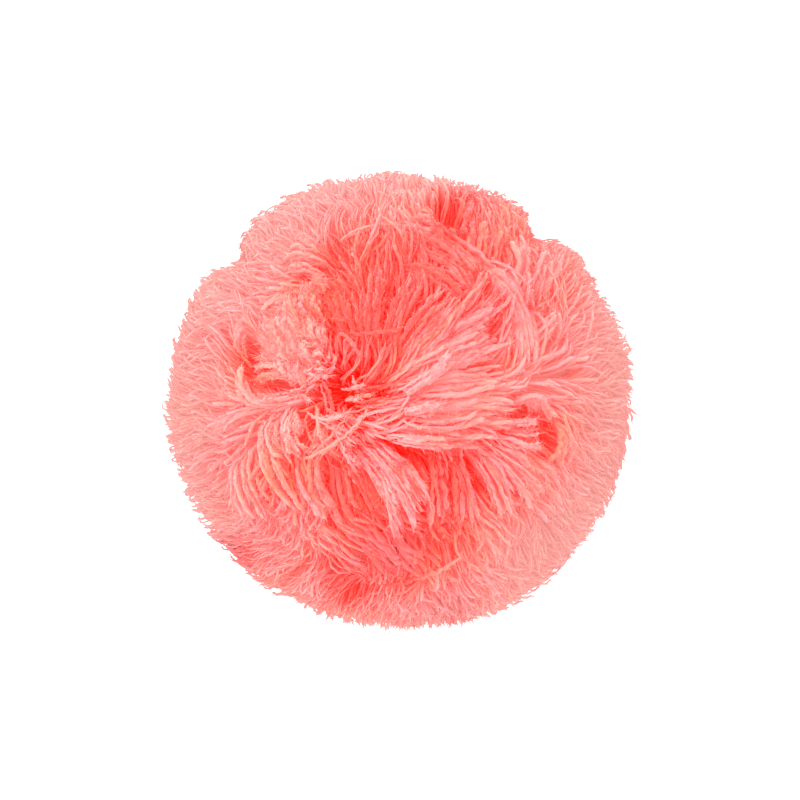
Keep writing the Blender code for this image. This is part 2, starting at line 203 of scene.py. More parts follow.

# Sheaves of longer yarns that lie over the pile
SHEAVES = (
    # the places that they run from, over and to, right and up, how wide they are at the root and the tip, how
    # deep they lie below the ball at each place, how many yarns they have, and how much painted shade reddens
    # them, which, with a minus, is painted light that makes them paler
    (-12, 10, -15, 20, -18, 31, 3, 5, 14, 7, 3, 20, 0.35),  # up through the valley
    (-11, 10, -12, 20, -12, 32, 3, 5, 14, 7, 3, 20, 0.4),
    (-9, 9, -8, 22, -7, 34, 3, 5, 13, 6, 2, 26, 0.3),
    (-7, 8, -2, 20, 2, 31, 4, 7, 12, 5, 2, 31, 0.25),
    (-5, 7, 4, 19, 12, 28, 4, 7, 12, 4, 1.5, 31, 0.15),
    (-4, 6, 8, 16, 19, 26, 4, 6, 11, 3, 1, 31, 0.05),
    (-8, 24, -6.5, 29, -6, 34, 1, 2, 3, 1, 0, 7, -0.3),
    (-6, 4, 9, 13, 25, 25, 5, 7, 9, 2, 0.5, 22, -0.1),  # right out of the parting
    (3, 8, 14, 17, 26, 23, 5, 6, 6, 1, 0, 12, -0.05),
    (-7, 3, 8, 9, 27, 16, 5, 7, 9, 2, 0.5, 20, -0.05),
    (4, 5, 14, 11, 25, 14, 4, 6, 5, 0.5, 0, 12, -0.1),
    (-8, 1, 8, 5, 28, 6, 5, 6, 9, 2, 0.5, 18, -0.1),
    (-9, -1, 8, 0, 28, 1, 5, 7, 8, 2, 0.5, 20, -0.1),
    (2, 0, 13, 0, 24, 3, 5, 6, 5, 0.5, 0, 12, -0.1),
    (-9, -3, 8, -4, 28, -5, 5, 7, 8, 2, 0.5, 20, -0.1),
    (0, -5, 11, -7, 23, -5, 4, 6, 5, 0.5, 0, 12, -0.1),
    (-10, -5, 6, -9, 24, -10, 5, 6, 8, 2, 0.5, 18, -0.05),
    (0, 2, 7, 6, 13, 12, 2, 3, 3, -1, -1.5, 12, -0.4),
    (1, -3, 5, -2.5, 11, -1, 2, 3, 2, -1, -1.5, 10, -0.4),
    (-4, -10, 4, -11, 13, -11.5, 2, 2.5, 3, -0.5, -1, 12, -0.4),
    (-4, 46, 8, 45, 22, 35, 3, 5, 6, 1, 0.5, 26, 0.05),  # long sheaf falling to the right
    (4, 44, 13, 40, 21, 31, 4, 5, 7, 2, 1, 23, 0.1),
    (-2, 40, 8, 36, 17, 29, 4, 6, 8, 3, 2, 23, 0.3),
    (18, 38, 29, 32, 36, 13, 4, 6, 7, 0, 0, 22, -0.25),
    (22, 30, 30, 24, 33, 12, 4, 5, 7, 1, 0.5, 20, -0.05),
    (22, 36, 22, 42, 22, 49, 4, 6, 9, 3, 0, 15, 0),  # upright tips on the upper right
    (26, 36, 27, 42, 28, 49, 4, 6, 9, 3, 0, 15, 0),
    (34, 26, 34, 34, 34, 43, 4, 6, 9, 2, 0, 23, -0.05),
    (38, 24, 39, 32, 42, 38, 4, 6, 9, 2, 0, 18, -0.1),
    (2, 52, 8, 50, 14, 43, 4, 4, 5, 1, 1, 15, 0.1),
    (16, 44, 17, 50, 19, 57, 3, 4, 9, 2, 0, 13, 0.1),
    (-24, 3, -26, 6, -27, 9, 4, 5, 8, 1, -1, 12, -0.75),  # tuft
    (-29, 4, -30, 7, -31, 10, 4, 5, 8, 1, -1, 12, -0.75),
    (-22, 8, -24, 11, -25, 15, 4, 5, 8, 0, -2.5, 13, -0.75),
    (-27, 8, -29, 11, -30, 15, 4, 5, 8, 0, -2.5, 13, -0.85),
    (-32, 8, -33.5, 11, -34.5, 15, 4, 4, 7, 0, -2, 12, -0.8),
    (-21, 13, -23, 17, -24, 21, 4, 5, 8, -0.5, -3, 13, -0.75),
    (-26, 13, -28, 17, -29, 21, 4, 5, 8, -0.5, -3, 13, -0.85),
    (-31, 13, -33, 17, -34, 21, 4, 4, 7, 0, -2.5, 12, -0.8),
    (-21, 19, -23, 23, -23.5, 27, 4, 5, 8, 0, -2.5, 12, -0.6),
    (-26, 19, -28, 22, -29, 26, 4, 5, 8, 0, -2, 12, -0.6),
    (-23, 24, -24, 28, -24, 31, 4, 4, 7, 0, -1.5, 12, -0.55),
    (-30, 6, -34, 6.6, -38, 5, 1.5, 1.5, 5, 0, 0, 5, -0.8),  # fingers over the left hollow
    (-30, 8, -34, 9, -38, 8.5, 1.5, 1.5, 5, 0, 0, 5, -0.8),
    (-31, 11, -34.5, 11.5, -38, 12, 1.5, 1.5, 5, 0, 0, 5, -0.8),
    (-32, 13, -35, 15, -37.5, 16.5, 1.5, 1.5, 5, 0, 0, 5, -0.75),
    (-27, 28, -23.5, 31.5, -19, 30.5, 3, 3, 4, -1.5, -0.5, 10, -0.35),
    (-20, 35, -26, 37.5, -34, 35, 4, 5, 7, 1, 0, 15, -0.15),  # fingers over the tuft
    (-22, 31, -30, 28.5, -39, 23.5, 3, 3, 7, 1.5, 0.5, 12, -0.1),
    (-19, 38, -24, 42, -30, 44, 5, 8, 8, 2, 1, 16, 0.05),
    (-29, 1.5, -39, 0, -43, 9, 2, 3, 5, 0.5, 0, 12, -0.45),  # curls round the left hollow
    (-34, -2, -46, 0, -49, 11, 4, 5, 8, 2, 1, 12, -0.05),
    (-27, 2.5, -33, 0.8, -39, 1.2, 1.5, 2, 4, 0.5, 0.5, 6, -0.3),
    (-44.5, 9, -44, 16, -40, 20, 2, 3, 8, 1, 0, 12, -0.35),
    (-35, -4, -45, -5, -53, -11, 5, 8, 8, 2, 1, 16, -0.05),
    (-29, 0, -30, -8, -26, -15, 3, 4, 6, 0, -0.5, 15, -0.3),  # falling on the lower left
    (-33, -2, -35, -9, -30, -15, 3, 4, 7, 0.5, 0, 16, -0.2),
    (-38, -4, -36, -14, -28, -27, 4, 5, 8, 1, 0, 23, -0.15),
    (-42, -6, -43, -18, -37, -32, 5, 7, 9, 1, 0, 26, -0.05),
    (-30, -12, -28, -22, -22, -32, 4, 6, 8, 1.5, 0.5, 23, -0.05),
    (-23, -12, -23, -20, -19, -30, 3, 4, 7, 1, 0.5, 15, -0.1),
    (-20, -11, -17, -22, -13, -31, 3, 6, 10, 4, 1, 20, 0.25),  # sheaf below the parting
    (-18, -11, -12, -20, -5, -31, 3, 6, 10, 3, 0.5, 23, 0.1),
    (-16, -11, -7, -18, 2, -30, 3, 6, 9, 2, -0.5, 28, -0.5),
    (-13, -11, -3, -17, 7, -31, 3, 6, 9, 2, -1, 23, -0.75),
    (-8, -18, -3, -24, 0, -34, 3, 4, 4, -0.5, -1.5, 12, -1.3),
    (-18, -26, -10, -36, 0, -46, 5, 7, 9, 2, 1, 26, 0.05),
    (-9, -32, -2, -40, 6, -48, 5, 7, 9, 3, 1, 20, 0.15),
    (10, -13, 11, -22, 12, -33, 3, 6, 9, 3, 1, 18, 0.15),  # fan at the lower right
    (15, -13, 17, -22, 18, -33, 3, 6, 9, 3, 1, 18, 0.1),
    (19, -12, 25, -20, 30, -31, 3, 6, 8, 1.5, 0, 23, -0.1),
    (20, -11, 29, -17, 36, -27, 3, 7, 8, 1, 0, 26, -0.2),
    (22, -10, 31, -13, 40, -20, 3, 5, 8, 1, 0, 18, -0.1),
    (31, -2, 37, 0.3, 42, -5, 2, 3, 5, 0.5, 0, 9, -0.2),  # curls round the right hollow
    (44, -3, 46, -10, 43.5, -18, 3, 5, 7, 1.5, 1, 12, -0.15),
    (29, -6, 33, -6, 36.5, -5.5, 1.5, 1.5, 6, 0.5, 0, 5, -0.35),
    (29, -8.5, 33, -9, 37.5, -8, 1.5, 1.5, 6, 0.5, 0, 5, -0.35),
    (29, -11, 33, -12, 37, -12, 1.5, 1.5, 6, 0.5, 0, 5, -0.3),
    (-17, -0.5, -12, 0.2, -5, 1, 1.6, 1.6, 3, 0, 0.5, 2, -0.5),  # cut ends over the pits
    (-25, -3, -19, -4.2, -10, -1.5, 1.2, 1.2, 3, 0, 1, 2, -0.4),
    (-19, -5, -15.5, -8.5, -13, -12, 1.4, 1.4, 2, -0.5, 0, 2, -0.45),
    (-16, -12, -13, -15.5, -10.5, -18.5, 1.4, 1.4, 2, -1, -1, 2, -0.5),
    (-10, -4, -15, -10, -24, -16, 1.4, 2, 3, -1, -1, 2, -0.35),
    (-17, 3.5, -12.5, 3.4, -6, 6, 0.8, 0.8, 3, 0.5, 0, 1, -0.3),
    (-14, 8, -12.5, 5.5, -11, 3, 0.8, 0.8, 4, 1, 0, 1, -0.1),
    (-22, 5, -20.5, 1, -18.5, -4, 1.6, 2, 4, 1.5, 1, 2, -0.05),
    (-29, -2, -27, 1, -23, -0.5, 1.2, 1.4, 3, 0.5, 0, 2, -0.3),
    (-9, -2, -9.5, -4.5, -13, -7, 0.8, 0.8, 4, 1, 1, 1, -0.2),
    (-26, -16, -23, -12, -20, -7, 1.4, 1.8, 2, -0.5, 1, 2, -0.25),
    (-26, 3, -23, 6, -19, 7, 1.8, 2.4, 4, 0.5, 0, 3, -0.2),
    (-2, -3, 4, -7, 12, -8, 1.6, 2, 3, 0, -0.5, 2, -0.35),
    (-25.5, -3, -20, -6, -13, -10.5, 1.2, 1.6, 2, -0.5, 0, 3, -0.45),
    (-19.5, -4, -16, -10, -12, -18, 1.2, 1.6, 2, -0.5, 0, 3, -0.5),
    (-13.5, -3, -17, -8, -23, -14.5, 1, 1.4, 2, -1, 0, 2, -0.35),
    (-23, -1, -22, -6, -21, -11, 1.2, 1.6, 3, 0.5, 1, 2, -0.2),
    (-30, -3, -27, -5.5, -26, -10, 1.6, 2, 3, 0, 0, 3, -0.45),
    (-20, 21, -16, 21.7, -13, 20, 0.5, 0.8, 1, 0, 2, 1, -0.15),
    (-18, 18, -14, 16.2, -11, 11, 0.5, 0.8, 1, 0, 3, 1, -0.15),
    (-15, 19, -9, 18.5, 1, 20, 0.5, 0.8, 2, 0, 0, 1, -0.1),
    (-17.5, 40, -9, 46.5, 10, 46, 0.8, 2, 1, -1, 0, 2, -0.4),  # long strays
    (18, -40, 11, -45.5, 1, -48, 0.8, 1, 1, 0, 0, 1, -0.1),
    (33, 34, 33.4, 30, 33, 25, 0.8, 0.8, -1, -1, 1, 1, -0.3),
    (34.5, 30, 36.5, 27, 38, 23, 0.8, 0.8, -1, -1, 1, 1, -0.3),
    (-37, 36, -35.5, 39, -33, 41, 0.6, 0.8, 1, 0, -1, 1, -0.4),
    (-24, 41, -23, 43, -21.5, 44.5, 0.6, 0.8, 1, 0, -1, 1, -0.35),
    (-47, -6, -52, -8, -53, -13, 0.6, 0.8, 1, 0, -0.5, 1, -0.4),
    (-43, -2, -49, 1, -55, -1, 0.6, 0.8, 1, 0, -0.5, 1, -0.3),
)
STRAYS = 7  # a sheaf of no more yarns than this is loose, and bridges the hollows
SHEAF_OVER = 1.5 * MM  # how far a sheaf may lie over the trimmed surface
PILE_OVER = 1.2 * MM  # and how far the pile may
SHEAF_RINGS = 17
SHEAF_FIBRES = 14.0  # fine fibres to a yarn
SHEAF_THICKNESS = 1.5  # over that of the pile
STRAY_THICKNESS = 1.2
STRAY_CURL = 0.5  # over that of the pile, as is the next
SHEAF_CLUMPING = 0.5
SHEAF_LAYERS = (-0.5, 3.6)  # how much deeper single yarns of a sheaf lie, in millimetres
SHEAF_STARTS = (0.0, 0.30)  # shares of a sheaf's length at which its yarns come to light
SHEAF_REACHES = (0.48, 1.0, 1.12)  # and where they end: the least, the likeliest and the most
SHEAF_STRAYING = 0.3  # of the tip's width, by which its yarns miss it
SHEAF_STRAYING_MOST = 1.3  # in millimetres

# Hollows of the face that no sheaf lies over, and, with a minus, bulges
HOLLOWS = (
    # right, up, reach, depth
    (-15, 2, 3.4, 12),  # pits in the parting
    (-4.8, 2, 2.8, 12),
    (-23, 1.5, 2.2, 7),
    (-23, -6.5, 2.2, 9),
    (-11, -9, 2.2, 6),
    (-20.5, 20, 2.2, 6),
    (-29, 16, 8, -4),  # tuft left of the parting
    (-39.5, 17, 3.8, 8),  # left hollow
    (-39, 11.5, 4.4, 12),
    (-37.5, 6, 4.6, 12),
    (-33, 3.5, 3.4, 10),
    (-25, 32.5, 3, 5),
    (34, -3.5, 3.6, 9),  # right hollow
    (38.5, -5.5, 4.6, 12),
    (39.5, -11, 4.4, 12),
    (37.5, -15, 3.6, 9),
    (35.5, 25.5, 3, 7),
    (14, 50, 5, 12),  # upper hollow
    (-17.5, 38, 3, 7),
    (-14, -50.5, 5, 5),  # lower hollow
    (1, -18, 4, 8),  # slits between the sheaves
    (6, -18, 3, 7),
    (19, -19, 2.2, 8),
    (22.5, -25, 2.4, 8),
    (11, -22, 2.4, 7),
    (17, 8, 2.4, 5),
    (23, 8, 2.4, 5),
    (14.5, 17.5, 2.2, 6),
    (25, 19, 2.4, 6),
    (-62, -6, 12, -1.5),  # swells and flats of the outline
    (60, 14, 10, -1.5),
    (34, -53, 12, -1),
    (54, 31, 12, 1.5),
    (25, 57, 8, 2),
    (47, 41, 6, 0.8),
    (-21, -58, 6, 1.2),
    (10, -61, 7, 1.2),
    (-24, 58, 12, -1),
    (-57, -28, 8, -0.8),
    (48, -40, 6, 0.8),
    (0, 61, 26, 1.6),  # the outline is a little wider than it is high
    (-8, -61, 26, 1.8),
)
THINNED_BELOW = 4.0 * MM  # the face's hollows that are deeper than this
THINNING = 0.65  # hold this much less yarn

# Holes between the yarns, which most yarns keep clear of
HOLES = (
    # right, up, reach
    (-20, 1.2, 1.5),
    (-16.5, 1.3, 1.7),
    (-6.6, 1.4, 1.4),
    (-4.2, 1.6, 1.4),
    (-40.5, 15.5, 1.5),
    (-40, 11.5, 2),
    (-38.5, 7.5, 2.2),
    (-36, 4.5, 1.8),
    (36.5, -4, 1.2),
    (39.5, -7, 1.6),
    (39.5, -11.5, 1.6),
    (14, 50.5, 2.4),
    (11.5, 49.5, 1.6),
    (17, 50.5, 1.8),
    (-13, -51, 2),
)
HOLE_BLOCKED = 0.12  # the share of yarns that cross a hole all the same
HOLE_DEPTH = 9.0 * MM  # and yarns cross it freely where they run deeper than this

# Where the pile lies deeper beneath the sheaves
DENTS = (
    # right, up, reach, depth
    (-9, 3, 8, 3),  # parting of the yarn
    (-10, 24, 9, 8),  # valley above the parting
    (-15, 26, 5, 4),
    (2, 18, 7, 5),
    (7, 2, 10, 1.5),  # beneath the right sheaf
    (5, 37, 8, 5),
    (27, 41, 7, 5),
    (-10, -20, 8, 8),  # beneath the lower sheaf
    (-17, -27, 5, 3),
    (8, -37, 9, 5),
    (18, -21, 7, 5),
    (-34, -16, 8, 4),
)

# Notches of the outline, which run down the side of the ball
NOTCHES = (
    # right, up, reach, depth
    (40, 48, 5, 6),
    (-47.5, 40.5, 5, 7.5),
)
NOTCH_START = 1.4  # how full a notch is at the widest part of the ball, where 1 and more is full
NOTCH_FALL = 2  # and how much that falls from there to the top

# Places of painted shade, where the yarn is coloured redder, and, with a minus, of painted light, where it is
# paler, than its depth makes it
SHADE_AND_LIGHT_BLUSHES = (
    # right, up, reach, amount
    (-11, 24, 9, 0.75),
    (-5, 15, 8, 0.45),
    (-1, 34, 9, 0.45),
    (9, 34, 10, 0.35),
    (7, 24, 8, 0.35),
    (-15.5, 1.5, 4.5, 0.8),
    (-5, 1.5, 3.5, 1),
    (-22, -3, 5, 0.25),
    (3, -18, 8, 0.65),
    (-12, -20, 9, 0.65),
    (13, -35, 10, 0.45),
    (-5, -38, 9, 0.5),
    (20, -21, 6, 0.55),
    (11, -23, 5, 0.4),
    (15, 50.5, 4.5, 1.25),
    (22, 54, 8, 0.7),
    (11, 43, 7, 0.8),
    (-8, 42, 11, 0.75),
    (-22, 51, 9, 0.2),
    (-11, 23, 7, 1.5),
    (-12, 29, 5, 0.5),
    (0, 22, 7, 0.4),
    (28, 24, 8, 0.4),
    (-24, 24, 5, 0.8),
    (-56, 12, 8, 0.3),
    (-30, 12, 7, -0.85),
    (-22, 8, 6, -0.45),
    (-32, 0, 6, -0.5),
    (-22, -9, 7, -0.45),
    (-9, -4, 5, -0.9),
    (35, 5, 8, -0.75),
    (33, -11, 4, -0.4),
    (0, -11, 7, -0.35),
    (12, -12, 6, 0.4),
    (-30, -22, 9, 0.5),
    (-48, -20, 10, 0.25),
    (-10, -26, 9, 0.3),
    (-8, -42, 12, 0.5),
    (3, -43, 8, 1),
    (-18, -55, 7, 0.35),
    (32, -40, 9, -0.7),
    (-44, -43, 7, 0.8),
    (28, 42, 11, 0.3),
    (26, 30, 7, 0.3),
    (36, 25, 5, 0.45),
    (-14, -50.5, 5, 1.3),
    (-40, 10, 3.5, 0.15),
    (-37.5, 6, 3.8, 1.2),
    (-34, 3.8, 3, 1),
    (35, -3.5, 3, 0.55),
    (39, -6, 3.2, 0.22),
    (40, -11, 3.2, 0.18),
    (37.5, -15, 3, 0.3),
    (-18, 38, 5, 0.6),
    (20, 8, 5, 0.4),
    (24, 19, 5, 0.3),
    (14, 17, 4, 0.3),
    (-27, 32, 4, 0.45),
    (-24, -22, 5, 0.3),
    (-35, -23, 5, 0.3),
    (29, -24, 4, 0.25),
)

# Where the yarn is of a warmer and, with a minus, a cooler pink
WARMTHS = (
    # right, up, reach, amount
    (2, 40, 18, -0.35),
    (-4, -34, 20, -0.4),
    (-44, -42, 12, -0.4),
    (48, 26, 12, -0.3),
    (-56, -22, 8, -0.2),
    (-39, 9, 6, 0.8),
    (39, -9, 7, 0.7),
    (14, 51, 5, 0.6),
    (-14, -50, 5, 0.6),
    (26, 2, 9, 0.2),
    (33, -44, 12, 0.2),
    (-26, 12, 8, 0.1),
    (-34, 42, 9, 0.15),
)

# Painted shadows: where the yarn is coloured duller and darker, as shade would make it
PAINTED_SHADOWS = (
    # right, up, reach, amount
    (-1, -41, 6, 0.55),
    (-9, -37, 5, 0.35),
    (-13, -45, 5, 0.3),
    (21, 52, 7, 0.35),
    (12, 53, 4, 0.3),
    (-46, -42, 6, 0.55),
    (14, -60, 7, 0.35),
    (30, -21, 3, 0.25),
)

# Places of the face with painted glow like the rim's, and, with a minus, places of the rim with less of it,
# where single yarns show
GLOW_PLACES = (
    # right, up, reach, amount
    (28, 46, 17, -0.85),
    (13, 51, 9, -0.9),
    (44, 30, 12, -0.5),
    (0, 60, 22, -0.1),
    (-10, -56, 20, -0.58),
    (-36, -44, 14, -0.5),
    (20, -50, 12, -0.4),
    (-40, 10, 6, -0.9),
    (38, -8, 6, -0.8),
    (-29, 14, 8, 0.5),
    (17, 4, 14, 0.5),
    (37, 6, 9, 0.4),
    (-33, -2, 8, 0.3),
    (-22, -10, 7, 0.2),
    (33, -36, 9, 0.2),
)
SEEN_BELOW = 10 * MM  # beneath the heart, where the places of the face no longer count

# The soft rim of the face, where painted glow takes the place of most of its lit colour and painted light
# makes it paler, by heights from the heart as shares of the radius
RIM_TOP = 0.88  # where it begins
RIM_FULL = 0.50  # where it is full
RIM_GONE = 0.62  # and how far beneath the heart it is gone again
RIM_DEPTHS = 0.75  # how much less painted glow the pile's depths get
PAINTED_RIM_LIGHT = 0.45  # painted light: how much paler the pile is coloured where it is seen edge on
RIM_LIGHT_HEIGHT = 0.6  # up and down to here
RIM_CALM = 0.35  # how much of the face's disorder is left there
CALM_BELOW = 0.25  # from here up the disorder grows
CALM_FADE = 0.4  # and over this height it is full

# How the yarn's colour changes through the pile, with painted shade that reddens it the deeper it lies
SKIN = 0.5 * MM  # the outermost pile, which is as pale as can be
DEEPEST = 12 * MM  # beneath that, where the painted shade makes the yarn as red as can be
DEPTH_CURVE = 0.8  # below 1, it reddens sooner
# Paler cut ends: the spread fibres of a bloomed end, partly a painted highlight that painted shade takes away
CUT_FROM = 0.86  # share of a yarn from where its bloomed end begins
END_BLOOM = (0.2, 1.0)  # how pale the end is, as shares
BLOOM_LOSS = 1.2  # of that, where painted shade makes the yarn redder
SHADE_BLUSH_SPREAD = 0.12  # from yarn to yarn
TINT_SPREAD = 0.25
TINT_MIDDLE = 0.66  # 0 is coral and 1 is pink
TINT_PATCHES = ((7.0, -5.0, 3.0), (-4.0, 6.0, 5.0))  # waves over the ball

# The lie of the pile where nothing is combed: soft waves over the whole ball, and a droop
WAVES = (
    # waves along x, y and z over the ball, then the way they push
    (4.1, 1.3, -2.2, 0.4, 3, 1.1),
    (-1.7, 3.9, 2.9, 2.7, -0.8, 2),
    (2.6, -3.1, 4.4, -1.2, 2.2, 2.6),
    (5.3, 2.4, 3.3, 1.9, 1.5, -2.4),
)
WAVE_LEAN = 5.0 * MM  # how far the waves carry a yarn
DROOP = 5.0 * MM  # how far it sags, beside the ball
SPLAY = 7.0 * MM  # how far it is pressed outwards beneath
FALL = 6.0 * MM  # how far it falls outwards round the face
FALL_FROM = 0.05  # over the heart, as a share of the radius, where that begins
FALL_GROWTH = 2.2  # how soon it is full

# The bands of the ball that the pile is made in, by the heights of its roots as shares of the radius
BANDS = (
    # name, lowest, highest, sectors, yarns in each, rings, fine fibres to a yarn, thickness
    ("face", 0.72, 1.01, 2, 1350, 10, 4.0, 1.0),
    ("rim", 0.32, 0.72, 3, 2150, 7, 0.7, 0.68),
    ("side", -0.10, 0.32, 2, 2000, 6, 0.4, 0.80),
    ("flank", -0.48, -0.10, 1, 2850, 6, 0.4, 0.92),
    ("base", -1.01, -0.48, 1, 1600, 5, 0.3, 1.0),
)


def length(name, description, default):
    """A size in metres that a user may change, shown to a hundredth of a millimetre."""
    return FloatProperty(name=name, description=description, default=default, unit="LENGTH", precision=5)


def colour(name, description, default):
    """A colour that a user may change."""
    return FloatVectorProperty(name=name, description=description, default=default, subtype="COLOR")


class YarnSizes(bpy.types.PropertyGroup):
    """Sizes of the single yarns of the pile."""

    thickness: length("Thickness", "Across one yarn, mid way along it", 1.0 * MM)
    unevenness: length("Unevenness", "How far cut ends miss the trimmed surface", 1.1 * MM)
    curl: length("Curl", "How far a yarn wanders to its sides", 1.3 * MM)
    ply_length: length("Ply length", "Along a yarn, from one ply to the next", 1.7 * MM)
    crinkle: length("Crinkle", "How far a yarn kinks from ring to ring", 0.14 * MM)
    clumping: FloatProperty(
        name="Clumping",
        description="How far yarns are drawn into locks on the face",
        default=0.42,
        min=0.0,
        max=1.0,
    )
    layering: FloatProperty(
        name="Layering",
        description="How far below the surface combed yarns may end, as a share of their run",
        default=0.26,
    )
    fuzz: FloatProperty(
        name="Fuzz", description="Share of the fine fibres that stand off each yarn", default=1.0, min=0.0
    )
    seed: IntProperty(name="Seed", description="Of the way the yarns lie", default=7)


class YarnColours(bpy.types.PropertyGroup):
    """Colours of the yarn, from its cut ends to the heart."""

    # Paler cut ends: a bloom of spread fibres, partly painted highlight
    ends: colour("Cut ends", "Of the bloomed cut ends", (0.99, 0.275, 0.265))
    warm_ends: colour("Warm ends", "Of the bloomed ends of warmer strands", (0.99, 0.285, 0.255))
    coral: colour("Coral", "Of yarn in the open, warmer strands", (0.99, 0.192, 0.115))
    pink: colour("Pink", "Of yarn in the open, cooler strands", (0.985, 0.187, 0.196))
    # Painted shade: the colours of yarn deep in the pile, where shade falls between the yarns
    depths: colour("Depths", "Of yarn deep in the pile", (0.99, 0.060, 0.022))
    rose: colour("Rose", "Of cooler yarn deep in the pile", (0.98, 0.062, 0.052))
    # Painted shadow: the colour mixed in at the places of the painted shadows
    dusk: colour("Dusk", "Of the yarn in the duller, shaded places", (0.58, 0.095, 0.110))
    # Painted glow: emitted colours that stand in for light soaking through the yarn
    glow: colour("Glow", "Of the light that soaks through the yarn", (0.24, 0.006, 0.002))
    rim_glow: colour("Rim glow", "Of the light that soaks through the thin rim", (0.66, 0.262, 0.236))


class StageSizes(bpy.types.PropertyGroup):
    """The floor, the lights and the camera's distance."""

    floor_side: length("Floor side", "Of the square floor", 3.0)
    camera_distance: length("Camera distance", "From the heart, straight above it", 1.6)
    key_power: FloatProperty(
        name="Key light", description="Power of the large soft light", default=17.0, unit="POWER"
    )
    sky: FloatProperty(name="Sky", description="Strength of the light from all round", default=2.3)


def facing(right, up):
    """Unit vector from the heart to a place on the face, given in millimetres right and up of its middle."""
    x = right * MM / PILE_RADIUS
    y = up * MM / PILE_RADIUS
    z = math.sqrt(max(0.0, 1 - x * x - y * y))
    return np.array((x, y, z)) / math.sqrt(x * x + y * y + z * z)


def near(ways, place, reach):
    """1 for ways that point at the place, falling smoothly to 0 past the reach, in metres on the surface."""
    apart = np.arccos(np.clip(ways @ place, -1, 1)) * PILE_RADIUS
    return np.exp(-((apart / reach) ** 2))


def seen_near(points, right, up, reach):
    """1 for points that are seen at a place of the face, falling smoothly to 0 past its reach."""
    apart = (points[..., 0] / MM - right) ** 2 + (points[..., 1] / MM - up) ** 2
    above = np.clip(1 + (points[..., 2] - HEART[2]) / SEEN_BELOW, 0, 1)
    return np.exp(-apart / reach**2) * above


def sum_seen(points, table):
    """The sum of a table's amounts, each as near as its place is seen to these points."""
    total = np.zeros(points.shape[:-1])
    for right, up, reach, amount in table:
        total += amount * seen_near(points, right, up, reach)
    return total


def unit(vectors):
    """The same ways, a length of 1 each."""
    return vectors / np.maximum(np.linalg.norm(vectors, axis=-1, keepdims=True), 1e-12)


def along_surface(ways, push):
    """The share of a push that runs along the surface at each way."""
    return push - ways * np.sum(push * ways, axis=1, keepdims=True)


def combing(ways):
    """How fast the pile is carried over the surface at each way, in metres for a whole yarn."""
    total = np.zeros(len(ways))
    carried = np.zeros_like(ways)
    for right, up, run_right, run_up in COMBED:
        place = facing(right, up)
        down = (place[0] * run_right + place[1] * run_up) / max(place[2], COMB_LOWEST)
        weight = near(ways, place, COMB_REACH)
        total += weight
        carried += weight[:, None] * np.array((run_right, run_up, -down)) * MM
    stroked = carried / (total + COMB_HOLD)[:, None]
    free = 1 - np.clip(total, 0, 1)
    waves = np.zeros_like(ways)
    for x, y, z, push_x, push_y, push_z in WAVES:
        phase = ways @ np.array((x, y, z))
        waves += np.sin(phase)[:, None] * np.array((push_x, push_y, push_z))
    low = np.clip(-ways[:, 2], 0, 1)
    beside = np.sqrt(np.clip(1 - ways[:, 2] ** 2, 0, 1))
    outwards = ways * np.array((1, 1, 0))
    sag = np.zeros_like(ways)
    round_face = np.clip((ways[:, 2] - FALL_FROM) * FALL_GROWTH, 0, 1) * beside
    sag[:, 2] = -(DROOP * beside + FALL * round_face) * (1 - low)
    loose = waves * WAVE_LEAN / len(WAVES) + sag + outwards * (SPLAY * low)[:, None]
    return along_surface(ways, stroked + loose * free[:, None])


def trimmed_radius(ways, dents=HOLLOWS + DENTS):
    """From the heart to the trimmed surface, which is the floor beneath."""
    radius = np.full(len(ways), PILE_RADIUS)
    for right, up, reach, depth in dents:
        radius -= near(ways, facing(right, up), reach * MM) * depth * MM
    beside = unit(ways * np.array((1, 1, 0)))
    steep = np.clip(NOTCH_START - NOTCH_FALL * np.abs(ways[:, 2]), 0, 1)
    for right, up, reach, depth in NOTCHES:
        radius -= near(beside, facing(right, up), reach * MM) * depth * MM * steep
    down = np.maximum(-ways[:, 2], 1e-6)
    return np.minimum(radius, HEART[2] / down)


def climb_of(along):
    """How much of its way out a yarn has climbed, a share along it."""
    return 1 - (1 - along) ** CLIMB


def yarn_lines(roots, alongs, lean, veer, trim):
    """The middle lines of yarns, as an array of yarns by rings by 3.

    lean scales each yarn's run, veer turns it, in radians, and trim is how much longer it is, in metres.
    """
    lines = np.empty((len(roots), len(alongs), 3))
    ways = roots.copy()
    before = 0.0
    cosine = np.cos(veer)[:, None]
    sine = np.sin(veer)[:, None]
    for ring, along in enumerate(alongs):
        share = along**LEAN - before
        before += share
        for _ in range(COMB_STEPS):
            run = combing(ways)
            run = run * cosine + np.cross(ways, run) * sine
            ways = unit(ways + run * (lean * share / COMB_STEPS / PILE_RADIUS)[:, None])
        climb = climb_of(along)
        radius = HEART_RADIUS + (trimmed_radius(ways) + trim - HEART_RADIUS) * climb
        lines[:, ring] = HEART + ways * radius[:, None]
    return lines


def spiral_ways(count, lowest, highest, sector, sectors, random):
    """Unit vectors spread evenly, with some jitter, over one sector of a band of the ball."""
    golden = math.pi * (3 - math.sqrt(5))
    total = int(count * sectors * 2 / (min(highest, 1) - max(lowest, -1)))
    number = np.arange(total)
    z = 1 - (2 * number + 1) / total
    angle = number * golden
    ways = np.stack((np.sqrt(1 - z * z) * np.cos(angle), np.sqrt(1 - z * z) * np.sin(angle), z), axis=1)
    ways = unit(ways + random.normal(0, JITTER * math.sqrt(math.pi / total), ways.shape))
    turn = np.arctan2(ways[:, 1], ways[:, 0]) % (2 * math.pi) / (2 * math.pi) * sectors
    kept = (ways[:, 2] >= lowest) & (ways[:, 2] < highest) & (turn.astype(int) == sector)
    return ways[kept]


